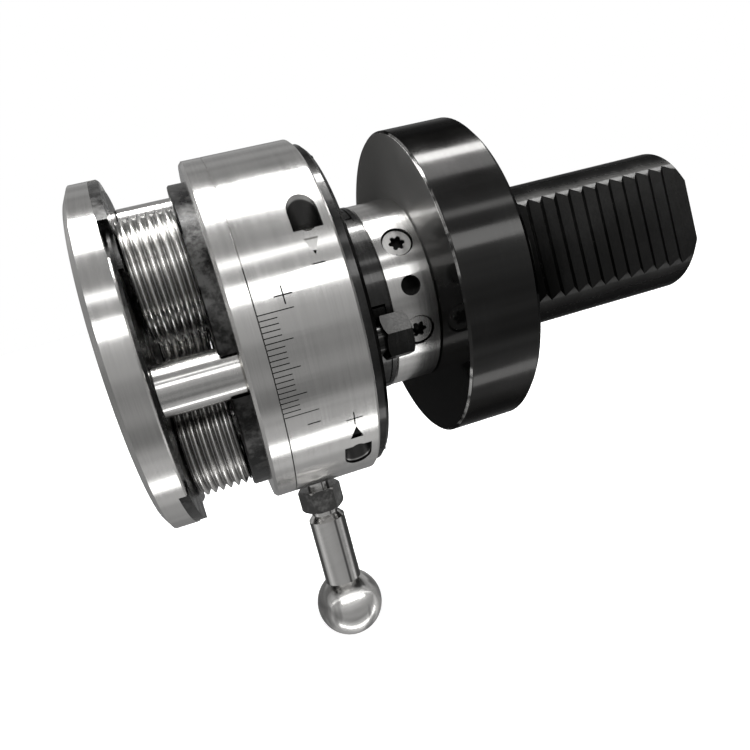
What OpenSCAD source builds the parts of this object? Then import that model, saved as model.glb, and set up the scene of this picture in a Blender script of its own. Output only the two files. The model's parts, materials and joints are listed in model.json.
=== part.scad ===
// Axial thread rolling head on a round shank with a toothed flat.
// Millimetres. +X runs along the shank, +Z is up, the handle points down.
// The origin is on the shank axis at the flange's seating face.
// Angles around the axis are given as th: 0 is down, 90 is towards -Y.

/* [Shank and flange] */
// Shank diameter
shank_d = 40; // [36:1:42]
// Shank length from the seating face
shank_len = 63; // [60:1:70]
// Flange diameter
flange_d = 83.6; // [76:0.1:90]
// Flange thickness
flange_t = 19; // [15:1:24]
// Bore for long workpieces, all the way through
through_d = 18; // [14:1:19]
// Pitch of the teeth on the shank's flat
tooth_pitch = 4.19; // [3.5:0.01:5]
// Number of teeth
tooth_n = 12; // [8:1:12]
// Distance from the axis to the tooth tips
tooth_tip = 16; // [15:0.5:17]
// Direction that the toothed flat faces
tooth_th = 96; // [0:1:359]
// Distance from the axis to the tooth roots
tooth_root = 14.4; // [13.5:0.1:15]
// Place of the first tooth root along the shank
tooth_x = 11.8; // [10:0.1:14]
// Part of the pitch from a root to the next tip
tooth_lean = 0.55; // [0.3:0.05:0.8]

/* [Hub and claw clutch] */
// Diameter of the bright hub sleeve
hub_d = 49.8; // [46:0.1:50.5]
// Length of the bright hub sleeve
hub_len = 12.15; // [11:0.05:16]
// Diameter of the two claw rings
claw_d = 50.1; // [46:0.1:50.5]
// Number of claws on each ring
claw_n = 3; // [2:1:4]
// Axial travel that pulls the claws out
trip_travel = 4; // [2:0.1:4]

/* [Head] */
// Diameter of the rings and the front plate
head_d = 89.2; // [88:0.1:92]
// Diameter of the rear cover
cover_d = 86; // [80:0.5:87]
// Thickness of the rear cover
cover_t = 3; // [2.5:0.1:3.5]
// Thickness of the front plate
front_t = 8; // [8:0.1:12]
// Spacer pillar diameter
pillar_d = 11.8; // [10:0.1:12.5]
// Distance of the pillars from the axis
pillar_r = 35.4; // [33:0.1:36]

/* [Rolls] */
// Largest diameter of a thread roll
roll_d = 30.6; // [28:0.1:31]
// Width of a thread roll
roll_w = 13.3; // [12.8:0.1:13.5]
// Thread pitch
pitch = 2; // [1.5:0.25:2]
// Lead angle that the rolls lean over by
lead_angle = 2.48; // [1.5:0.01:3]
// Distance of the spindles from the axis
spindle_r = 22.5; // [22.5:0.5:22.5]
// Eccentricity of the spindles
ecc = 1.2; // [0.5:0.05:1.2]
// Turn of the eccentric when the head is open
ecc_open = 23.6; // [15:0.1:40]
// Place of the first spindle around the axis
first_th = 21.4; // [0:0.1:119]

/* [Gears] */
// Teeth of the fixed centre gear
sun_n = 27; // [27:3:27]
// Teeth of each spindle pinion
pinion_n = 18; // [18:3:18]
// Gear module
gear_m = 1; // [0.9:0.05:1]

/* [Scale and adjustment] */
// Divisions on the adjusting scale
scale_n = 20; // [12:1:24]
// Angle of one division
scale_step = 1.58; // [1:0.01:2]
// Middle of the scale around the axis
scale_th = 81.9; // [81.9:0.1:81.9]
// Turn of the scale ring each way
adjust_deg = 5; // [3:0.5:5]

/* [Handle] */
// Ball diameter
ball_d = 18.9; // [16:0.1:20]
// Distance of the ball's centre from the axis
ball_r = 84.3; // [78:0.05:90]
// Stem diameter
stem_d = 10.3; // [8:0.1:11]

/* [Hidden] */
fn = 128;
e = 0.01;

// stations along the axis
x_fl = -flange_t;              // front face of the flange
x_hub = x_fl - hub_len;        // front end of the hub sleeve
x_cov = -40.2;                 // rear face of the cover
x_sr = x_cov - cover_t;        // rear face of the scale ring
x_seam = -64.7;                // joint between scale ring and gear ring
x_gr = -70.1;                  // front face of the gear ring
x_mid = -74.3;                 // front face of the mid plate
x_ms = -73.2;                  // heads of the mid plate's screws
x_roll = -81.2;                // middle of the rolls
x_fp = -89.4;                  // rear face of the front plate
x_end = x_fp - front_t;        // front face of the front plate
x_adj = -48.9;                 // middle of the adjusting screws
x_hand = -57.3;                // middle of the handle
head_r = head_d / 2;
bore_r = through_d / 2;
spindles = [for (i = [0:2]) first_th + 120 * i];
pillars = [for (i = [0:2]) first_th + 60 + 120 * i];
adj_h = 33.9;                  // height of the adjusting screws' chord

// ---------- helpers ----------

// local +Y is the radial direction at th, local +Z is the way that a positive turn about +X moves
module polar(th) { rotate([-90 - th, 0, 0]) children(); }

// solid of revolution about X from points [radius, x]
module turned(pts, n = fn) { rotate([0, 90, 0]) rotate_extrude($fn = n) polygon(pts); }

// cylinder along X from x0 to x1
module xcyl(r, x0, x1, n = 64) { translate([x0, 0, 0]) rotate([0, 90, 0]) cylinder(r = r, h = x1 - x0, $fn = n); }

// cylinder along local Y from y0 to y1
module ycyl(r, y0, y1, n = 48) { translate([0, y0, 0]) rotate([-90, 0, 0]) cylinder(r = r, h = y1 - y0, $fn = n); }

// plain ring with broken edges
module ring(ri, ro, x0, x1, c = 0.4, n = fn)
    turned([[ri, x0], [ro - c, x0], [ro, x0 + c], [ro, x1 - c], [ro - c, x1], [ri, x1]], n);

// frame of one spindle: local X is the leaning spindle axis, local origin at the middle of the roll
module spindle_frame(th) { polar(th) translate([x_roll, spindle_r, 0]) rotate([0, lead_angle, 0]) children(); }

// frame of one roll, on the eccentric journal of its spindle
module roll_frame(th) { spindle_frame(th) translate([0, ecc * cos(ecc_open), ecc * sin(ecc_open)]) children(); }

// flat pie slice around X in the YZ plane, centred on th, out to radius r
module slice2(th, half, r)
    polygon(concat([[0, 0]], [for (k = [-4:4]) r * [-sin(th + half * k / 4), -cos(th + half * k / 4)]]));

// extrude a YZ-plane shape, drawn with [y, z] points, from x0 to x1
module along_x(x0, x1) { translate([x0, 0, 0]) rotate([90, 0, 90]) linear_extrude(height = x1 - x0) children(); }

module arc_slot(r0, r1, th, half, x0, x1)
    intersection() {
        turned([[r0, x0], [r1, x0], [r1, x1], [r0, x1]]);
        along_x(x0 - 1, x1 + 1) slice2(th, half, r1 * 1.3);
    }

// involute gear outline, tooth centred on the first axis; thin is taken off each tooth's thickness
function inv_a(rb, r) = sqrt(max(0, r * r / (rb * rb) - 1)) * 180 / PI - acos(min(1, rb / r));
function gear_pts(z, m, thin, add, ded) =
    let (rp = m * z / 2, rb = rp * cos(20), ra = rp + add, rf = rp - ded,
         half = (PI * m / 2 - thin) / rp / 2 * 180 / PI + inv_a(rb, rp),
         rs = max(rf, rb), k = 4)
    [for (t = [0:z - 1]) let (c = 360 * t / z) each concat(
        [[rf * cos(c - half - (rf < rb ? 0.2 : 0)), rf * sin(c - half - (rf < rb ? 0.2 : 0))]],
        [for (j = [0:k]) let (r = rs + (ra - rs) * j / k, a = c - half + inv_a(rb, r)) [r * cos(a), r * sin(a)]],
        [for (j = [k:-1:0]) let (r = rs + (ra - rs) * j / k, a = c + half - inv_a(rb, r)) [r * cos(a), r * sin(a)]],
        [[rf * cos(c + half + (rf < rb ? 0.2 : 0)), rf * sin(c + half + (rf < rb ? 0.2 : 0))]])];

// six-lobed driver recess, cut along local Y down from y1
module star_recess(r, y0, y1) {
    ycyl(r * 0.72, y0, y1, 24);
    for (a = [0:60:300]) rotate([0, a, 0]) translate([r * 0.72, 0, 0]) ycyl(r * 0.28, y0, y1, 16);
}

// socket head screw along X: head from x0 to x0+hh, shaft on to x1, hexagon socket in the head
module cap_screw(rh, hh, rs, x0, x1, af)
    difference() {
        union() {
            turned([[0, x0], [rh - 0.4, x0], [rh, x0 + 0.4], [rh, x0 + hh], [0, x0 + hh]], 48);
            xcyl(rs, x0 + hh - e, x1, 32);
        }
        xcyl(af / 2 / cos(30), x0 - 1, x0 + hh * 0.6, 6);
    }

// ---------- shank side ----------

module vdi_holder() color([0.09, 0.09, 0.1]) {
    sr = shank_d / 2; fr = flange_d / 2;
    difference() {
        turned([[bore_r, x_fl - 11.6], [17.5, x_fl - 11.6], [18, x_fl - 11.1], [18, x_fl], [fr - 0.6, x_fl], [fr, x_fl + 0.6],
                [fr, -1.3], [fr - 1.3, 0], [sr, 0], [sr, tooth_x - 1.1], [sr - 0.3, tooth_x - 1.1], [sr - 0.3, tooth_x - 0.6], [sr, tooth_x - 0.6], [sr, shank_len - 2], [sr - 2, shank_len], [bore_r + 1, shank_len], [bore_r, shank_len - 1]]);
        // toothed flat: a sloping flank and a steeper flank on each tooth; it starts in a shallow run-out groove
        polar(tooth_th) translate([0, 0, -sr - 1]) linear_extrude(height = 2 * sr + 2)
            polygon(concat([[tooth_x - 0.85, sr + 1], [tooth_x - 0.85, tooth_root]],
                [for (k = [0:tooth_n - 1]) let (x = tooth_x + k * tooth_pitch) each [[x, tooth_root], [x + tooth_lean * tooth_pitch, tooth_tip]]],
                [[shank_len + 3, tooth_tip], [shank_len + 3, sr + 1]]));
        // tapped holes for the hub screws
        for (t = [67.8, 121.6, 247.8, 301.6]) polar(t) translate([x_fl - 5.85, 0, 0]) ycyl(1.65, 13, 19);
    }
}

module hub_sleeve() color([0.72, 0.72, 0.73]) {
    hr = hub_d / 2;
    difference() {
        turned([[12, x_fl - 39], [15.6, x_fl - 39], [16, x_fl - 38.6], [16, x_hub], [hr - 0.4, x_hub], [hr, x_hub + 0.4],
                [hr, x_fl - 0.4], [hr - 0.4, x_fl], [18, x_fl], [18, x_fl - 11.6], [12, x_fl - 11.6]]);
        for (t = [67.8, 121.6, 247.8, 301.6]) polar(t) translate([x_fl - 5.85, 0, 0]) { ycyl(4, 21.2, 26.5); ycyl(2.1, 15, 22.6); }
        for (t = [94.8, 274.8]) polar(t) translate([x_fl - 6.05, 0, 0]) ycyl(2.5, 19.2, 26.5);
    }
}

module hub_screws() color([0.55, 0.55, 0.56])
    for (t = [67.8, 121.6, 247.8, 301.6]) polar(t) translate([x_fl - 5.85, 0, 0])
        difference() {
            union() { ycyl(3.55, 21.25, 24.1); ycyl(1.6, 13.4, 21.3); }
            star_recess(2.1, 22.2, 24.6);
        }

module sun_gear() color([0.45, 0.45, 0.47])
    difference() {
        union() {
            // one tooth lies on the line from the axis to a pinion
            polar(first_th) rotate([-asin(0.656 / spindle_r), 0, 0]) translate([-69.7, 0, 0]) rotate([90, 0, 90])
                linear_extrude(height = 4.5) polygon(gear_pts(sun_n, gear_m, 0.35, 0.9, 1.25));
            xcyl(12, -65.3, x_fl - 11.6, 96);
        }
        xcyl(bore_r, -80, 0, 96);
    }

module claws(x0, x1, r0, shift)
    for (k = [0:claw_n - 1]) along_x(x0, x1) difference() {
        intersection() {
            circle(r = claw_d / 2 - 0.02, $fn = fn);
            slice2(shift + 360 / claw_n * k, 90 / claw_n - 0.7, claw_d);
        }
        circle(r = r0, $fn = fn);
    }

module rear_claw_ring() color([0.12, 0.12, 0.13]) union() {
    turned([[16, x_hub - 1.4], [claw_d / 2, x_hub - 1.4], [claw_d / 2, x_hub - 0.25], [claw_d / 2 - 0.25, x_hub], [16, x_hub]]);
    claws(x_hub - 4.9, x_hub - 1.4 + e, 16, 118);
}

module front_claw_ring() color([0.12, 0.12, 0.13]) difference() {
    union() {
        turned([[19.2, -57.4], [20.6, -57.4], [21, -57], [21, -50.2], [20.4, -50.2], [20.4, -49.2], [21, -49.2], [21, -39.9], [claw_d / 2 - 0.3, -39.9], [claw_d / 2, -39.6],
                [claw_d / 2, -36.35], [16.04, -36.35], [16.04, -49.1], [19.2, -49.1]]);
        claws(-36.35 - e, -32.85, 16.04, 58);
    }
    // seat of the turn stop pin
    polar(160) translate([-46.5, 0, 0]) ycyl(1.5, 17, 22);
}

module turn_stop_pin() color([0.6, 0.6, 0.6]) polar(160) translate([-46.5, 0, 0]) ycyl(1.5, 17, 23.4);

module retaining_ring() color([0.2, 0.2, 0.2]) difference() {
    ring(20.4, 23.3, -50.15, -49.25, 0.1);
    along_x(-51, -49) slice2(270, 6, 30);
}

module spring_seat() color([0.5, 0.5, 0.5]) ring(16, 18.8, x_fl - 39, x_fl - 37, 0.3, 96);

// round-wire compression spring, one closed ring per turn
module clutch_spring() color([0.35, 0.35, 0.37])
    for (k = [0:2]) translate([-55.2 + k * 2.6, 0, 0]) rotate([0, 90, 0])
        rotate_extrude($fn = 96) translate([17.55, 0]) circle(r = 0.7, $fn = 16);

// ---------- front cage ----------

// sector of a disc in the YZ plane, from angle a0 to a1 past th
module sector2(th, a0, a1, r)
    intersection() {
        circle(r = r, $fn = fn);
        slice2(th + (a0 + a1) / 2, (a1 - a0) / 2, r * 1.2);
    }

module front_plate() color([0.7, 0.7, 0.71]) difference() {
    turned([[10.6, x_end], [head_r - 2.6, x_end], [head_r, x_end + 1.5], [head_r, x_fp - 0.35], [head_r - 0.35, x_fp], [10.6, x_fp]]);
    // entry bevel of the workpiece hole
    turned([[0, x_end - 1], [14.1, x_end - 1], [10.6, x_end + 2.5], [0, x_end + 2.5]]);
    // seats for the lobes, square to the leaning rolls
    for (t = spindles) intersection() {
        along_x(x_fp - 3, x_fp + 1) sector2(t, -19, 27, head_r + 1);
        spindle_frame(t) xcyl(60, -9.3, 6);
    }
    for (t = pillars) polar(t) translate([0, pillar_r, 0]) { xcyl(5.2, x_end - 1, x_end + 6.2); xcyl(3.2, x_end, x_fp + 1); }
    for (t = spindles) spindle_frame(t) xcyl(6.6, -15.1, -5);
}

// thin disc with a lobe at each roll; each lobe is square to its leaning roll
module thrust_plate() color([0.14, 0.14, 0.15]) difference() {
    union() {
        difference() {
            turned([[0, x_fp], [41.8, x_fp], [41.8, x_fp + 0.65], [0, x_fp + 0.65]]);
            for (t = spindles) spindle_frame(t) xcyl(17.5, -7.1, 4, 96);
        }
        for (t = spindles) intersection() {
            along_x(x_fp - 3, x_fp + 4) difference() {
                union() { sector2(t, -19, 27, 40); sector2(t, -5, 26.6, head_r - 0.3); }
                circle(r = 10.6, $fn = fn);
            }
            spindle_frame(t) xcyl(60, -9.3, -7);
        }
    }
    xcyl(10.6, -110, -80, 96);
    for (t = spindles) spindle_frame(t) xcyl(5.5, -14, -3);
    for (t = pillars) polar(t) translate([0, pillar_r, 0]) xcyl(3.2, x_fp - 2, x_fp + 3);
}

module front_bushes() color([0.7, 0.55, 0.3])
    for (t = spindles) spindle_frame(t) difference() { xcyl(6.6, -15.1, -10.8, 96); xcyl(5.03, -16, -10, 96); }

module mid_bushes() color([0.7, 0.55, 0.3])
    for (t = spindles) spindle_frame(t) difference() { xcyl(6.6, 7.3, 10.6, 96); xcyl(5.03, 6, 12, 96); }

module spacer_pillars() color([0.75, 0.75, 0.76])
    for (t = pillars) polar(t) translate([0, pillar_r, 0]) difference() {
        turned([[0, x_fp + 0.65], [pillar_d / 2 - 0.4, x_fp + 0.65], [pillar_d / 2, x_fp + 1.05], [pillar_d / 2, x_gr - 0.4], [pillar_d / 2 - 0.4, x_gr], [0, x_gr]], 96);
        xcyl(3.2, x_fp - 1, x_gr + 1, 48);
    }

module pillar_screws() color([0.2, 0.2, 0.21])
    for (t = pillars) polar(t) translate([0, pillar_r, 0]) cap_screw(4.9, 6, 3, x_end + 0.2, -66.4, 5);

module mid_plate() color([0.16, 0.16, 0.17]) difference() {
    turned([[9.8, x_mid], [39.4, x_mid], [39.8, x_mid + 0.4], [39.8, x_gr], [9.8, x_gr]]);
    // notches for the pillars, and shallow reliefs square to the leaning rolls
    for (t = pillars) polar(t) translate([0, pillar_r, 0]) xcyl(6.4, x_mid - 1, x_gr + 1);
    for (t = spindles) spindle_frame(t) { xcyl(17, 2, 7, 96); xcyl(6.6, 4, 14); }
    for (t = spindles) polar(t + 30) translate([0, 29, 0]) {
        xcyl(2.1, -78, -69);
        xcyl(4, x_mid - 1, x_ms + e);
        turned([[0, x_ms - e], [4, x_ms - e], [2.1, x_ms + 1.9], [0, x_ms + 1.9]], 48);
    }
}

module mid_plate_screws() color([0.25, 0.25, 0.26])
    for (t = spindles) polar(t + 30) translate([0, 29, 0]) difference() {
        union() { turned([[0, x_ms], [3.95, x_ms], [2, x_ms + 1.95], [0, x_ms + 1.95]], 48); xcyl(2, x_ms + 1.9, -63.4, 32); }
        xcyl(1.45, x_ms - 1, x_ms + 1.3, 6);
    }

module gear_ring() color([0.68, 0.68, 0.69]) difference() {
    turned([[0, x_gr], [head_r - 0.7, x_gr], [head_r, x_gr + 0.7], [head_r, x_seam - 0.2], [head_r - 0.15, x_seam - 0.05], [37.5, x_seam - 0.05],
            [37.5, -59.3], [37.2, -59], [0, -59]]);
    // chamber for the centre gear and three pockets for the pinions
    xcyl(17.5, x_gr - 1, -60.9, 96);
    for (t = spindles) intersection() { spindle_frame(t) xcyl(11, 5, 30, 96); xcyl(40, x_gr - 1, -60.9, 96); }
    xcyl(12.6, -80, -50, 96);
    for (t = spindles) spindle_frame(t) xcyl(3.53, 15, 30, 48);
    for (t = pillars) polar(t) translate([0, pillar_r, 0]) xcyl(3, x_gr - 1, -66.2, 32);
    for (t = spindles) polar(t + 30) translate([0, 29, 0]) xcyl(2, x_gr - 1, -63.2, 32);
    polar(scale_th) translate([0, adj_h, 0]) xcyl(3, -65.9, -50, 64);
}

module adjusting_pin() color([0.5, 0.5, 0.52])
    polar(scale_th) translate([0, adj_h, 0]) turned([[0, -65.8], [2.6, -65.8], [3, -65.4], [3, -46.3], [2.6, -45.9], [0, -45.9]], 64);

// ---------- scale ring, cover and handle ----------

// radial mark on the scale ring: w around, from xa to xb, depth 0.2
module tick(th, xa, xb, w = 0.22) { polar(th) translate([xa, head_r - 0.2, -w / 2]) cube([xb - xa, 1, w]); }

module plus_mark(th, x) { tick(th, x - 2, x + 2, 0.3); polar(th) translate([x - 0.15, head_r - 0.35, -2]) cube([0.3, 1, 4]); }

// engraved triangle with its point towards tip_th
module arrow_mark(base_th, tip_th, x)
    polar(base_th) translate([x, head_r - 0.5, 0]) rotate([-90, 0, 0]) linear_extrude(height = 2)
        polygon([[-1.6, 0], [1.6, 0], [0, head_r * (tip_th - base_th) * PI / 180]]);

// mark positions are tied to the middle of the scale
module scale_marks() {
    for (k = [0:scale_n - 1]) let (t = scale_th + (scale_n - 1) / 2 * scale_step - k * scale_step)
        tick(t, x_seam - 0.1, x_seam + ((k == 0 || k == scale_n - 1) ? 7.9 : (k % 5 == 0) ? 6.1 : 4));
    plus_mark(scale_th + 18.8, -58.3);
    tick(scale_th + 24.7, -50.55, -47.7, 0.3);
    arrow_mark(scale_th + 32.2, scale_th + 27.1, x_adj - 0.25);
    plus_mark(scale_th - 22.2, -49.3);
    tick(scale_th - 19.3, -59.95, -56.9, 0.3);
    arrow_mark(scale_th - 30.6, scale_th - 25.4, x_adj - 0.2);
}

// pocket over an adjusting screw: threaded bore along the chord, then an end-milled window out to the rim
module adjust_bore(side) {
    translate([x_adj, adj_h, 0]) rotate([side > 0 ? 0 : 180, 0, 0]) {
        cylinder(r = 3, h = 26.3, $fn = 48);
        translate([0, 0, 25.5]) cylinder(r = 3.35, h = 30, $fn = 64);
        translate([-3.35, side > 0 ? 0 : -20, 25.5]) cube([6.7, 20, 30]);
    }
}

module scale_ring() color([0.7, 0.7, 0.71]) difference() {
    turned([[37.54, x_seam], [head_r - 0.15, x_seam], [head_r, x_seam + 0.15], [head_r, x_sr - 0.6], [head_r - 0.6, x_sr], [27.5, x_sr],
            [27.5, -58.7], [37.54, -58.7]]);
    // arc pocket for the adjusting pin
    arc_slot(29, 38, scale_th, adjust_deg + 6.6, -59.4, -45.3);
    polar(scale_th) { adjust_bore(1); adjust_bore(-1); }
    // stud hole and spot face for the handle
    polar(0) translate([x_hand, 0, 0]) { ycyl(3, 37, 50.6); ycyl(6.6, 44.2, 50.6); }
    for (k = [0:5]) polar(k * 60 + 30) translate([0, 40, 0]) xcyl(1.25, -50, x_sr + 1, 32);
    polar(74.5) translate([0, 30.4, 0]) xcyl(2.5, -45.5, x_sr + 1, 32);
    // anchor slot of the opening spring
    polar(200) translate([-58.9, 26, -0.6]) cube([8.6, 3.6, 1.2]);
    scale_marks();
}

module rear_cover() color([0.1, 0.1, 0.11]) difference() {
    turned([[21.06, -49], [24.6, -49], [25, -48.6], [25, x_sr - 1.2], [27.4, x_sr - 1.2], [27.4, x_sr], [cover_d / 2, x_sr], [cover_d / 2, x_cov - 1], [cover_d / 2 - 1, x_cov], [21.06, x_cov]]);
    // arc that the turn stop pin runs in
    arc_slot(20, 23.8, 190, 40, -48.4, -44.6);
    for (k = [0:5]) polar(k * 60 + 30) translate([0, 40, 0]) { xcyl(1.3, -46, -39, 32); turned([[0, x_cov - 1.2], [1.3, x_cov - 1.2], [2.5, x_cov + e], [0, x_cov + e]], 48); }
    polar(74.5) translate([0, 30.4, 0]) xcyl(2.5, -46, -39, 32);
}

module cover_screws() color([0.4, 0.4, 0.41])
    for (k = [0:5]) polar(k * 60 + 30) translate([0, 40, 0]) difference() {
        union() { turned([[0, x_cov - 1.2], [1.25, x_cov - 1.2], [2.4, x_cov - 0.05], [0, x_cov - 0.05]], 48); xcyl(1.25, -49.5, x_cov - 1.19, 32); }
        xcyl(0.9, x_cov - 0.9, x_cov + 1, 6);
    }

// flat strip wound from the claw ring's sleeve out to the scale ring
function spiral_r(a) = 21.7 + 5.1 * a / 1260;
module opening_spring() color([0.3, 0.3, 0.33])
    along_x(-58.3, -50.6) union() {
        polygon(concat(
            [for (a = [0:15:1260]) spiral_r(a) * [-sin(200 + a - 1260), -cos(200 + a - 1260)]],
            [for (a = [1260:-15:0]) (spiral_r(a) + 0.55) * [-sin(200 + a - 1260), -cos(200 + a - 1260)]]));
        rotate(-90 - 200) translate([26.9, -0.4]) square([2, 0.8]);
    }

module handle_nut() color([0.4, 0.4, 0.42])
    polar(0) translate([x_hand, 0, 0]) difference() {
        intersection() {
            ycyl(10.7 / 2 / cos(30), 47.5, 53.8, 6);
            translate([0, 47.5, 0]) rotate([-90, 0, 0]) rotate_extrude($fn = 64) polygon([[0, 0], [5.6, 0], [6.25, 0.6], [6.25, 5.7], [5.6, 6.3], [0, 6.3]]);
        }
        ycyl(3, 46, 56);
    }

module handle_stem() color([0.78, 0.78, 0.79])
    polar(0) translate([x_hand, 0, 0]) rotate([-90, 0, 0]) rotate_extrude($fn = 64)
        polygon([[0, 38.2], [2.6, 38.2], [3, 38.6], [3, 54], [3.7, 54.2], [3.7, 55.5], [stem_d / 2 - 0.8, 56.15], [stem_d / 2, 57.05], [stem_d / 2, 77.2], [0, 77.2]]);

module handle_ball() color([0.8, 0.8, 0.81])
    polar(0) translate([x_hand, ball_r, 0]) rotate([-90, 0, 0]) difference() {
        sphere(d = ball_d, $fn = 96);
        translate([0, 0, -12]) cylinder(r = stem_d / 2 + 0.03, h = 12 - (ball_r - 77.2), $fn = 64);
    }

module stop_bolt() color([0.2, 0.2, 0.21])
    polar(74.5) translate([0, 30.4, 0]) {
        intersection() {
            xcyl(10 / 2 / cos(30), -36.55, -29.95, 6);
            turned([[0, -36.55], [5.1, -36.55], [5.9, -36.05], [5.9, -30.45], [5.1, -29.95], [0, -29.95]], 48);
        }
        xcyl(3.6, x_cov, -36.45, 48);
        xcyl(2.5, -45.15, x_cov + e, 32);
    }

// headless adjusting screw with a hexagon socket in its outer end
module adjusting_screw(side)
    polar(scale_th) translate([x_adj, adj_h, 0]) rotate([side > 0 ? 0 : 180, 0, 0]) difference() {
        rotate_extrude($fn = 48) polygon([[0, 3.2], [2.4, 3.2], [2.95, 3.8], [2.95, 24.4], [2.5, 24.9], [0, 24.9]]);
        translate([0, 0, 21.9]) rotate([0, 0, 30]) cylinder(r = 1.7, h = 4, $fn = 6);
    }
module adjusting_screw_a() color([0.3, 0.3, 0.32]) adjusting_screw(-1);
module adjusting_screw_b() color([0.3, 0.3, 0.32]) adjusting_screw(1);

// ---------- spindles and rolls ----------

module spindle(th) color([0.6, 0.6, 0.62]) spindle_frame(th) {
    turned([[0, -14.8], [4.5, -14.8], [5, -14.3], [5, -6.6], [0, -6.6]], 96);
    translate([0, ecc * cos(ecc_open), ecc * sin(ecc_open)]) xcyl(6.2, -6.7, 6.7, 96);
    turned([[0, 6.6], [5, 6.6], [5, 19.4], [3.5, 19.4], [3.5, 21.2], [3.2, 21.5], [0, 21.5]], 96);
}

module pinion(th) color([0.5, 0.5, 0.52]) spindle_frame(th) difference() {
    translate([11.9, 0, 0]) rotate([180 - asin(0.656 / spindle_r) + 180 / pinion_n, 0, 0]) rotate([90, 0, 90])
        linear_extrude(height = 7.5) polygon(gear_pts(pinion_n, gear_m, 0.35, 0.9, 1.25));
    xcyl(5, 10, 20, 96);
}

module roll_washers(th) color([0.72, 0.6, 0.35]) roll_frame(th)
    for (m = [-1, 1]) difference() { xcyl(8.6, m > 0 ? 5.85 : -6.7, m > 0 ? 6.7 : -5.85, 96); xcyl(6.2, -8, 8, 96); }

// annular ridges: one crest per pitch, and a bevelled land at each end
function ridge_pts() =
    let (rc = roll_d / 2, rr = rc - 0.62 * pitch, w = (rc - rr) * 0.62, h = roll_w / 2, n = 3, x1 = n * pitch)
    concat(
        [[rc - 2.2, -h], [rc - 0.75, -h + 0.1], [rc - 0.6, -x1 - 0.45], [rr, -x1 - 0.1]],
        [for (k = [-n:n - 1]) let (x = (k + 0.5) * pitch) each [[rr, x - w - 0.12], [rc, x - 0.12], [rc, x + 0.12], [rr, x + w + 0.12]]],
        [[rr, x1 + 0.1], [rc - 0.6, x1 + 0.45], [rc - 0.75, h - 0.1], [rc - 2.2, h]]);

module roll(th) color([0.55, 0.55, 0.57]) roll_frame(th)
    turned(concat([[8, -5.75], [9, -5.75], [9, -roll_w / 2]], ridge_pts(), [[9, roll_w / 2], [9, 5.75], [8, 5.75]]));

module roll_bush(th) color([0.72, 0.57, 0.3]) roll_frame(th)
    turned([[6.24, -5.7], [8, -5.7], [8, 5.7], [6.24, 5.7]], 96);

module spindle_1() spindle(spindles[0]);
module spindle_2() spindle(spindles[1]);
module spindle_3() spindle(spindles[2]);
module pinion_1() pinion(spindles[0]);
module pinion_2() pinion(spindles[1]);
module pinion_3() pinion(spindles[2]);
module roll_washers_1() roll_washers(spindles[0]);
module roll_washers_2() roll_washers(spindles[1]);
module roll_washers_3() roll_washers(spindles[2]);
module roll_1() roll(spindles[0]);
module roll_2() roll(spindles[1]);
module roll_3() roll(spindles[2]);
module roll_bush_1() roll_bush(spindles[0]);
module roll_bush_2() roll_bush(spindles[1]);
module roll_bush_3() roll_bush(spindles[2]);

vdi_holder();
hub_sleeve();
hub_screws();
sun_gear();
rear_claw_ring();
spring_seat();
clutch_spring();
front_claw_ring();
retaining_ring();
turn_stop_pin();
front_plate();
thrust_plate();
spacer_pillars();
pillar_screws();
mid_plate();
mid_plate_screws();
gear_ring();
adjusting_pin();
front_bushes();
mid_bushes();
scale_ring();
rear_cover();
cover_screws();
opening_spring();
handle_nut();
handle_stem();
handle_ball();
stop_bolt();
adjusting_screw_a();
adjusting_screw_b();
spindle_1();
spindle_2();
spindle_3();
pinion_1();
pinion_2();
pinion_3();
roll_washers_1();
roll_washers_2();
roll_washers_3();
roll_1();
roll_2();
roll_3();
roll_bush_1();
roll_bush_2();
roll_bush_3();
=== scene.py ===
import bpy
import json
import math
from mathutils import Matrix, Vector

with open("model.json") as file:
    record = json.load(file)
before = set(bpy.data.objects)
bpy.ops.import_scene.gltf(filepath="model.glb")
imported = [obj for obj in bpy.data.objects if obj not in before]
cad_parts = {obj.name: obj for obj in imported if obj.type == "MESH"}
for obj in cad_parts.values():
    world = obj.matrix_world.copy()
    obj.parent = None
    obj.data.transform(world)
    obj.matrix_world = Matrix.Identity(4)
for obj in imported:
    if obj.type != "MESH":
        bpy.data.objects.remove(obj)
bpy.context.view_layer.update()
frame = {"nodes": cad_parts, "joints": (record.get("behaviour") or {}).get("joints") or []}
nodes = frame["nodes"]
scene = bpy.context.scene

# ---------------------------------------------------------------- camera
cam_data = bpy.data.cameras.new("camera")
cam = bpy.data.objects.new("camera", cam_data)
scene.collection.objects.link(cam)
cam.matrix_world = Matrix((
    (0.93910582, 0.28036596, -0.19868365, -0.07631913),
    (-0.24680919, 0.14802921, -0.95769127, -0.18736367),
    (-0.23909305, 0.94841040, 0.20821199, 0.01345989),
    (0, 0, 0, 1)))
cam_data.sensor_width = 36.0
cam_data.lens = 36.0 * 690.0122 / 750
cam_data.shift_x = (375 - 366.75) / 750
cam_data.shift_y = (398.5107 - 375) / 750
cam_data.clip_start = 0.01
cam_data.clip_end = 50
scene.camera = cam
scene.view_settings.view_transform = "Standard"
scene.view_settings.look = "None"

# ---------------------------------------------------------------- node helpers


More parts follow.
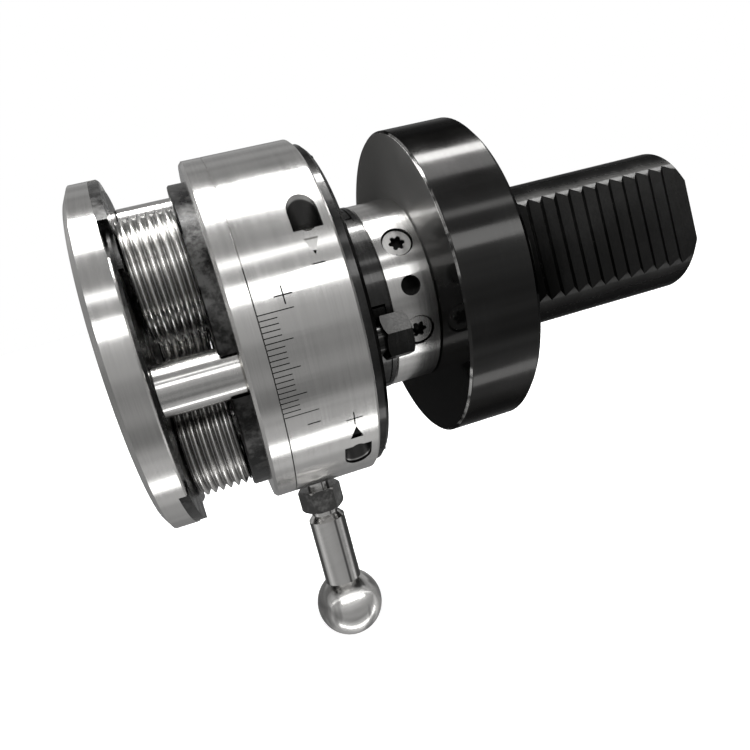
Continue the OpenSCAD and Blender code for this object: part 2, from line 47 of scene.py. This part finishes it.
class Tree:
    """Short way to add and link shader nodes."""

    def __init__(self, tree):
        self.t = tree
        tree.nodes.clear()

    def n(self, kind, props=None, **inputs):
        node = self.t.nodes.new(kind)
        for k, v in (props or {}).items():
            setattr(node, k, v)
        for k, v in inputs.items():
            self.put(node, k.replace("_", " "), v)
        return node

    def put(self, node, key, v):
        sock = node.inputs[int(key)] if str(key).isdigit() else node.inputs[key]
        if isinstance(v, bpy.types.NodeSocket):
            self.t.links.new(v, sock)
        elif isinstance(v, bpy.types.Node):
            self.t.links.new(v.outputs[0], sock)
        else:
            sock.default_value = v

    def math(self, op, a, b=None, c=None, clamp=False):
        node = self.t.nodes.new("ShaderNodeMath")
        node.operation = op
        node.use_clamp = clamp
        for i, v in enumerate((a, b, c)):
            if v is not None:
                self.put(node, i, v)
        return node.outputs[0]

    def vec(self, op, a, b=None, scale=None):
        node = self.t.nodes.new("ShaderNodeVectorMath")
        node.operation = op
        self.put(node, 0, a)
        if b is not None:
            self.put(node, 1, b)
        if scale is not None:
            self.put(node, "Scale", scale)
        return node.outputs["Value"] if op in ("LENGTH", "DOT_PRODUCT") else node.outputs["Vector"]

    def ramp(self, fac, stops, mode="LINEAR"):
        node = self.t.nodes.new("ShaderNodeValToRGB")
        node.color_ramp.interpolation = mode
        el = node.color_ramp.elements
        while len(el) > 1:
            el.remove(el[-1])
        for i, (p, c) in enumerate(stops):
            e = el[0] if i == 0 else el.new(p)
            e.position = p
            e.color = (c, c, c, 1) if not hasattr(c, "__len__") else (*c, 1)
        self.put(node, 0, fac)
        return node.outputs[0]

    def smooth(self, v, a, b, lo=0.0, hi=1.0):
        node = self.t.nodes.new("ShaderNodeMapRange")
        node.interpolation_type = "SMOOTHSTEP"
        for k, x in (("Value", v), ("From Min", a), ("From Max", b), ("To Min", lo), ("To Max", hi)):
            self.put(node, k, x)
        return node.outputs[0]

    def mix(self, fac, a, b):
        node = self.t.nodes.new("ShaderNodeMix")
        node.data_type = "RGBA"
        self.put(node, 0, fac)
        self.t.links.new(a, node.inputs[6]) if isinstance(a, bpy.types.NodeSocket) else setattr(node.inputs[6], "default_value", a)
        self.t.links.new(b, node.inputs[7]) if isinstance(b, bpy.types.NodeSocket) else setattr(node.inputs[7], "default_value", b)
        return node.outputs[2]

    def noise(self, vector, scale, detail=2.0, rough=0.5, w=None):
        node = self.t.nodes.new("ShaderNodeTexNoise")
        node.noise_dimensions = "4D" if w is not None else "3D"
        for k, x in (("Vector", vector), ("Scale", scale), ("Detail", detail), ("Roughness", rough)):
            self.put(node, k, x)
        if w is not None:
            self.put(node, "W", w)
        return node.outputs[0]

    def comb(self, x, y, z):
        node = self.t.nodes.new("ShaderNodeCombineXYZ")
        for k, v in (("X", x), ("Y", y), ("Z", z)):
            self.put(node, k, v)
        return node.outputs[0]


def grey(v):
    return (v, v * 0.988, v * 0.966, 1)


def axial(t, origin=(0, 0, 0), axis=(1, 0, 0)):
    """Distance along an axis, distance from it, unit direction away from it, and the way round it."""
    p = t.n("ShaderNodeTexCoord").outputs["Object"]
    q = t.vec("SUBTRACT", p, origin)
    along = t.vec("DOT_PRODUCT", q, axis)
    back = t.vec("SCALE", axis, scale=along)
    out = t.vec("SUBTRACT", q, back)
    r = t.vec("LENGTH", out)
    way = t.vec("NORMALIZE", out)
    tangent = t.vec("CROSS_PRODUCT", axis, way)
    turn = t.n("ShaderNodeVectorTransform", {"vector_type": "VECTOR", "convert_from": "OBJECT", "convert_to": "WORLD"}, Vector=tangent)
    return {"p": p, "x": along, "r": r, "way": way, "tangent": turn.outputs[0]}


def material(name):
    m = bpy.data.materials.new(name)
    m.use_nodes = True
    t = Tree(m.node_tree)
    out = t.n("ShaderNodeOutputMaterial")
    bsdf = t.n("ShaderNodeBsdfPrincipled")
    t.put(out, "Surface", bsdf.outputs[0])
    return m, t, bsdf


def turning_lines(t, a, fine=9000.0, slow=3.0):
    """Fine lines left by turning: they change fast along the axis and outwards, and slowly around."""
    v = t.vec("ADD", t.vec("SCALE", a["way"], scale=slow), t.comb(t.math("MULTIPLY", a["x"], fine), 0, 0))
    return t.noise(v, 1.0, 3.0, 0.6, w=t.math("MULTIPLY", a["r"], fine))


def turned_metal(name, base, rough, origin=(0, 0, 0), axis=(1, 0, 0), aniso=0.75, depth=0.1, streak=0.12, fine=7000.0, extra=None):
    """Turned metal: streaks in tone and roughness around the axis, soft smudges, and worn tone at random."""
    m, t, b = material(name)
    a = axial(t, origin, axis)
    lines = turning_lines(t, a, fine)
    broad = turning_lines(t, a, fine * 0.12, 1.5)
    cloud = t.noise(a["p"], 60.0, 4.0, 0.55)
    k = t.math("ADD", t.math("MULTIPLY", lines, 0.5), t.math("ADD", t.math("MULTIPLY", broad, 0.3), t.math("MULTIPLY", cloud, 0.2)))
    tone = t.mix(t.smooth(k, 0.35, 0.65), grey(base * (1 - streak)), grey(min(1.0, base * (1 + streak))))
    if extra:
        tone = extra(t, a, tone)
    t.put(b, "Base Color", tone)
    b.inputs["Metallic"].default_value = 1.0
    t.put(b, "Roughness", t.smooth(t.math("ADD", t.math("MULTIPLY", broad, 0.5), t.math("MULTIPLY", cloud, 0.5)), 0.3, 0.7, rough * 0.82, rough * 1.2))
    b.inputs["Anisotropic"].default_value = aniso
    b.inputs["Anisotropic Rotation"].default_value = 0.25
    t.put(b, "Tangent", a["tangent"])
    bump = t.n("ShaderNodeBump", None, Strength=depth, Distance=0.00004, Height=lines)
    t.put(b, "Normal", bump.outputs[0])
    return m


def black_metal(name, base, rough, origin=(0, 0, 0), axis=(1, 0, 0), wear=0.25, depth=0.15, coat=0.3, fine=3500.0, dull_past=None):
    """Black oxide over machined steel, oiled: fine machining lines, smudges and lighter worn spots."""
    m, t, b = material(name)
    a = axial(t, origin, axis)
    lines = turning_lines(t, a, fine)
    cloud = t.noise(a["p"], 45.0, 5.0, 0.6)
    grain = t.noise(a["p"], 1800.0, 2.0, 0.6)
    k = t.math("ADD", t.math("MULTIPLY", cloud, 0.6), t.math("ADD", t.math("MULTIPLY", lines, 0.25), t.math("MULTIPLY", grain, 0.15)))
    tone = t.mix(t.smooth(k, 0.42, 0.75), grey(base), grey(base * (1 + wear * 4)))
    gloss = t.smooth(cloud, 0.3, 0.7, rough * 0.8, rough * 1.3)
    if dull_past is not None:
        # the shank behind the seating face has a darker, duller skin than the flange
        shank = t.smooth(a["x"], dull_past - 0.0001, dull_past + 0.0003)
        tone = t.mix(shank, tone, t.mix(t.smooth(k, 0.42, 0.75), grey(base * 0.5), grey(base)))
        gloss = t.math("ADD", gloss, t.math("MULTIPLY", shank, 0.16))
        # the flange's front face is matt, and carries painted shade: darker towards its lower edge, lighter towards the
        # top
        face = t.math("LESS_THAN", a["x"], -0.01895)
        gloss = t.math("ADD", gloss, t.math("MULTIPLY", face, 0.3))
        height = t.n("ShaderNodeSeparateXYZ", None, Vector=a["p"]).outputs["Z"]
        shade = t.mix(t.smooth(t.math("ADD", height, t.math("MULTIPLY", cloud, 0.02)), 0.0, 0.05), grey(base * 0.5), grey(base * 6.5))
        tone = t.mix(face, tone, shade)
        # the oxide is rubbed through in places along the flange's front edge
        rim = t.math("MULTIPLY", t.math("LESS_THAN", a["x"], -0.01855), t.math("GREATER_THAN", a["r"], 0.04105))
        tone = t.mix(t.math("MULTIPLY", rim, t.smooth(t.noise(a["p"], 140.0, 3.0, 0.6), 0.44, 0.62)), tone, grey(0.6))
    t.put(b, "Base Color", tone)
    b.inputs["Metallic"].default_value = 1.0
    t.put(b, "Roughness", gloss)
    b.inputs["Coat Weight"].default_value = coat
    b.inputs["Coat Roughness"].default_value = 0.07
    b.inputs["Specular Tint"].default_value = (0.3, 0.3, 0.3, 1)
    b.inputs["Anisotropic"].default_value = 0.6
    b.inputs["Anisotropic Rotation"].default_value = 0.25
    t.put(b, "Tangent", a["tangent"])
    bump = t.n("ShaderNodeBump", None, Strength=depth, Distance=0.00004, Height=t.math("ADD", lines, t.math("MULTIPLY", grain, 0.5)))
    t.put(b, "Normal", bump.outputs[0])
    return m


def dark_metal(name, base, rough, bump_d=0.0002, patch=0.5, coat=0.35):
    """Dark steel with an oily skin: mottled tone and an uneven surface that breaks the reflections."""
    m, t, b = material(name)
    a = axial(t)
    big = t.noise(a["p"], 170.0, 4.0, 0.6)
    small = t.noise(a["p"], 900.0, 3.0, 0.6)
    k = t.math("ADD", t.math("MULTIPLY", big, 0.7), t.math("MULTIPLY", small, 0.3))
    t.put(b, "Base Color", t.mix(t.smooth(k, 0.45, 0.62), grey(base), grey(base * (1 + 3 * patch))))
    b.inputs["Metallic"].default_value = 1.0
    t.put(b, "Roughness", t.smooth(big, 0.35, 0.65, rough * 0.7, rough * 1.3))
    b.inputs["Coat Weight"].default_value = coat
    b.inputs["Coat Roughness"].default_value = 0.15
    bump = t.n("ShaderNodeBump", None, Strength=0.6, Distance=bump_d, Height=k)
    t.put(b, "Normal", bump.outputs[0])
    return m


def use(mat, *names):
    for n in names:
        ob = nodes[n]
        ob.data.materials.clear()
        ob.data.materials.append(mat)


# ---------------------------------------------------------------- materials
def scale_ink(t, a, tone):
    """Black filling in the engraved marks, which lie just under the ring's surface, and painted shade inside the milled
    windows.
    """
    sep = t.n("ShaderNodeSeparateXYZ", None, Vector=a["p"])
    deep = t.math("MULTIPLY", t.math("LESS_THAN", a["r"], 0.04453), t.math("GREATER_THAN", a["r"], 0.0440))
    inside = t.math("MULTIPLY", t.math("LESS_THAN", a["x"], -0.0445), t.math("GREATER_THAN", a["x"], -0.0648))
    low = t.math("LESS_THAN", sep.outputs["Z"], 0.0155)
    ink = t.math("MULTIPLY", t.math("MULTIPLY", deep, inside), low)
    tone = t.mix(ink, tone, grey(0.012))
    # painted shade: the milled windows are darkened inside
    return t.mix(t.smooth(a["r"], 0.0436, 0.044), grey(0.1), tone)


def hub_holes(t, a, tone):
    """Painted shade inside the holes of the hub sleeve."""
    return t.mix(t.smooth(a["r"], 0.0236, 0.0246), grey(0.02), tone)


def screw_recess(t, a, tone):
    """Painted shade inside the driver recesses of the hub's screws."""
    return t.mix(t.smooth(a["r"], 0.0234, 0.02400), grey(0.03), tone)


def roll_grooves(t, a, tone):
    """Grooves between the ridges darker than the crests: oil in the grooves plus painted shade there; the crests keep
    the steel's tone.
    """
    return t.mix(t.smooth(a["r"], 0.0144, 0.0151), grey(0.4), tone)


def smudges(t, a, tone):
    """Oily smudges that run along the handle."""
    long = t.vec("MULTIPLY", a["p"], (1.0, 1.0, 0.35))
    k = t.noise(long, 95.0, 3.0, 0.55)
    return t.mix(t.smooth(k, 0.4, 0.5), grey(0.4), tone)


def stem_shade(t, a, tone):
    """Painted reflection on the stem: long light and dark stripes on its sides, set by which way the surface faces."""
    n = t.n("ShaderNodeSeparateXYZ", None, Vector=t.n("ShaderNodeNewGeometry").outputs["Normal"]).outputs["X"]
    # painted reflection: stripe brightness is picked from the surface normal's X component
    k = t.ramp(t.math("MULTIPLY_ADD", n, 0.5, 0.5), [(0.0, 0.1), (0.04, 0.15), (0.09, 1.0), (0.3, 1.0), (0.42, 1.0), (0.58, 0.9), (0.64, 0.15),
               (0.7, 0.95), (0.8, 0.9), (0.86, 0.1), (1.0, 0.05)], "EASE")
    return t.mix(k, grey(0.03), tone)


steel_rings = turned_metal("steel_scale_ring", 0.76, 0.22, aniso=0.88, depth=0.04, streak=0.05, extra=scale_ink)
steel = turned_metal("steel_turned", 0.76, 0.22, aniso=0.88, depth=0.04, streak=0.05)
steel_hub = turned_metal("steel_hub", 0.72, 0.2, aniso=0.85, depth=0.05, streak=0.06, extra=hub_holes)
use(steel_rings, "scale_ring")
use(steel, "gear_ring", "front_plate")
use(steel_hub, "hub_sleeve")

black = black_metal("black_oxide", 0.042, 0.16, wear=0.12, depth=0.08, coat=0.12, dull_past=0.0)
black_cover = black_metal("black_cover", 0.03, 0.25, wear=0.8, coat=0.5)
use(black, "vdi_holder")
use(black_cover, "rear_cover", "rear_claw_ring", "front_claw_ring")

dark = dark_metal("dark_plate", 0.018, 0.32, 0.0001, 1.0, 0.08)
use(dark, "mid_plate")
lobe = dark_metal("dark_lobes", 0.035, 0.3, 0.0001, 0.4, 0.1)
use(lobe, "thrust_plate")
screw = dark_metal("screw_black", 0.035, 0.28, 0.00005, 0.5, 0.12)
use(screw, "pillar_screws", "mid_plate_screws", "cover_screws", "retaining_ring")
screw_ends = dark_metal("screw_ends", 0.3, 0.22, 0.00006, 0.6, 0.3)
use(screw_ends, "adjusting_screw_a", "adjusting_screw_b")
inner = turned_metal("steel_inner", 0.5, 0.3)
use(inner, "sun_gear", "spring_seat", "clutch_spring", "turn_stop_pin", "adjusting_pin", "opening_spring")
fitted = turned_metal("steel_fitted", 0.74, 0.24, aniso=0.85, depth=0.04, streak=0.05)
use(fitted, "spacer_pillars")
heads = turned_metal("screw_heads", 0.78, 0.28, aniso=0.0, depth=0.05, extra=screw_recess)
use(heads, "hub_screws")
bolt = black_metal("bolt_black", 0.03, 0.26, wear=0.8, depth=0.1, coat=0.15)
use(bolt, "stop_bolt")
nut = dark_metal("nut_steel", 0.14, 0.18, 0.00002, 0.5, 0.5)
use(nut, "handle_nut")
bronze = turned_metal("bronze", 0.5, 0.3)
use(bronze, "front_bushes", "mid_bushes")
HX = -0.0573
polish = turned_metal("steel_polished", 0.95, 0.2, (HX, 0, 0), (0, 0, -1), aniso=0.3, depth=0.03, streak=0.05, extra=smudges)
use(polish, "handle_ball")
stem = turned_metal("steel_stem", 0.95, 0.2, (HX, 0, 0), (0, 0, -1), aniso=0.3, depth=0.03, streak=0.05, extra=stem_shade)
use(stem, "handle_stem")

TH = (21.4, 141.4, 261.4)
LEAN = math.radians(2.48)
for i, th in enumerate(TH, 1):
    a = math.radians(th)
    roll_axis = (math.cos(LEAN), -math.sin(LEAN) * math.cos(a), math.sin(LEAN) * math.sin(a))
    j = next(x for x in frame["joints"] if x["name"] == f"roll_{i}_spin")
    roll_m = turned_metal(f"roll_steel_{i}", 0.92, 0.26, tuple(j["pos_m"]), roll_axis, aniso=0.2, depth=0.15, extra=roll_grooves)
    use(roll_m, f"roll_{i}")
    use(bronze, f"roll_bush_{i}", f"roll_washers_{i}")
    use(inner, f"spindle_{i}", f"pinion_{i}")

# ---------------------------------------------------------------- world: what the metal reflects
world = bpy.data.worlds.new("studio")
scene.world = world
world.use_nodes = True
w = Tree(world.node_tree)
wout = w.n("ShaderNodeOutputWorld")
direction = w.n("ShaderNodeTexCoord").outputs["Generated"]
sep = w.n("ShaderNodeSeparateXYZ", None, Vector=direction)
# angle round the shank's axis, 0 below, 0.25 towards the camera's side, 0.5 above
ang = w.math("DIVIDE", w.math("ARCTAN2", w.math("MULTIPLY", sep.outputs["Y"], -1.0), w.math("MULTIPLY", sep.outputs["Z"], -1.0)), 2 * math.pi)
ang = w.math("WRAP", ang, 1.0, 0.0)
base = w.ramp(ang, [(0.0, 0.5), (0.07, 0.42), (0.12, 0.22), (0.2, 0.26), (0.27, 0.34), (0.3, 0.42), (0.345, 0.3), (0.368, 0.34), (0.374, 2.4), (0.38, 2.4), (0.388, 0.3),
                     (0.42, 0.3), (0.545, 0.3), (0.58, 0.22), (0.68, 0.34), (0.72, 0.22), (0.8, 0.22), (0.86, 0.22), (0.93, 0.3), (1.0, 0.5)], "EASE")
round_v = w.vec("NORMALIZE", w.comb(0, sep.outputs["Y"], sep.outputs["Z"]))
cloud = w.noise(w.vec("ADD", w.vec("SCALE", round_v, scale=3.0), w.comb(w.math("MULTIPLY", sep.outputs["X"], 0.3), 0, 0)), 2.2, 3.0, 0.6)
level = w.math("MULTIPLY", base, w.smooth(cloud, 0.3, 0.7, 0.75, 1.25))
bg = w.n("ShaderNodeBackground", None, Color=(1, 1, 1, 1), Strength=level)
w.put(wout, "Surface", bg.outputs[0])


def strip(name, theta, dist, width, length, power, x=0.2):
    """Soft strip light parallel to the shank, at angle theta round it (0 below, 90 on the camera's side, 180 above)."""
    a = math.radians(theta)
    out = Vector((0, -math.sin(a), -math.cos(a)))
    ld = bpy.data.lights.new(name, "AREA")
    ld.shape = "RECTANGLE"
    ld.size = length
    ld.size_y = width
    ld.energy = power * length * width * math.pi
    ob = bpy.data.objects.new(name, ld)
    scene.collection.objects.link(ob)
    z = out
    xa = Vector((1, 0, 0))
    ya = z.cross(xa)
    ob.matrix_world = Matrix(((xa.x, ya.x, z.x, x), (xa.y, ya.y, z.y, out.y * dist), (xa.z, ya.z, z.z, out.z * dist), (0, 0, 0, 1)))
    ob.visible_camera = False
    return ob


strip("light_top", 177, 0.7, 0.33, 1.6, 2.4)
strip("light_top_core", 184.5, 0.68, 0.1, 1.6, 20.0)
strip("light_front", 115, 0.75, 0.14, 1.6, 2.6)
strip("light_low", 11, 0.7, 0.12, 1.6, 2.0)

# ---------------------------------------------------------------- floor and backdrop


def stage_mat(name, value, strength):
    m, t, b = material(name)
    t.put(b, "Base Color", (value, value, value, 1))
    b.inputs["Roughness"].default_value = 0.9
    b.inputs["Specular IOR Level"].default_value = 0.1
    b.inputs["Emission Color"].default_value = (1, 1, 1, 1)
    b.inputs["Emission Strength"].default_value = strength
    return m


bpy.ops.mesh.primitive_circle_add(vertices=96, radius=5.0, fill_type="NGON", location=(0, 0, -0.0925))
floor = bpy.context.object
floor.name = "floor"
floor.data.materials.append(stage_mat("floor_white", 0.8, 0.75))
floor.visible_glossy = False
floor.visible_shadow = False
bpy.ops.mesh.primitive_uv_sphere_add(segments=64, ring_count=32, radius=5.2, location=(0, 0, 0))
dome = bpy.context.object
dome.name = "backdrop"
dome.data.materials.append(stage_mat("backdrop_white", 0.0, 1.0))
dome.visible_glossy = dome.visible_diffuse = dome.visible_shadow = dome.visible_transmission = False
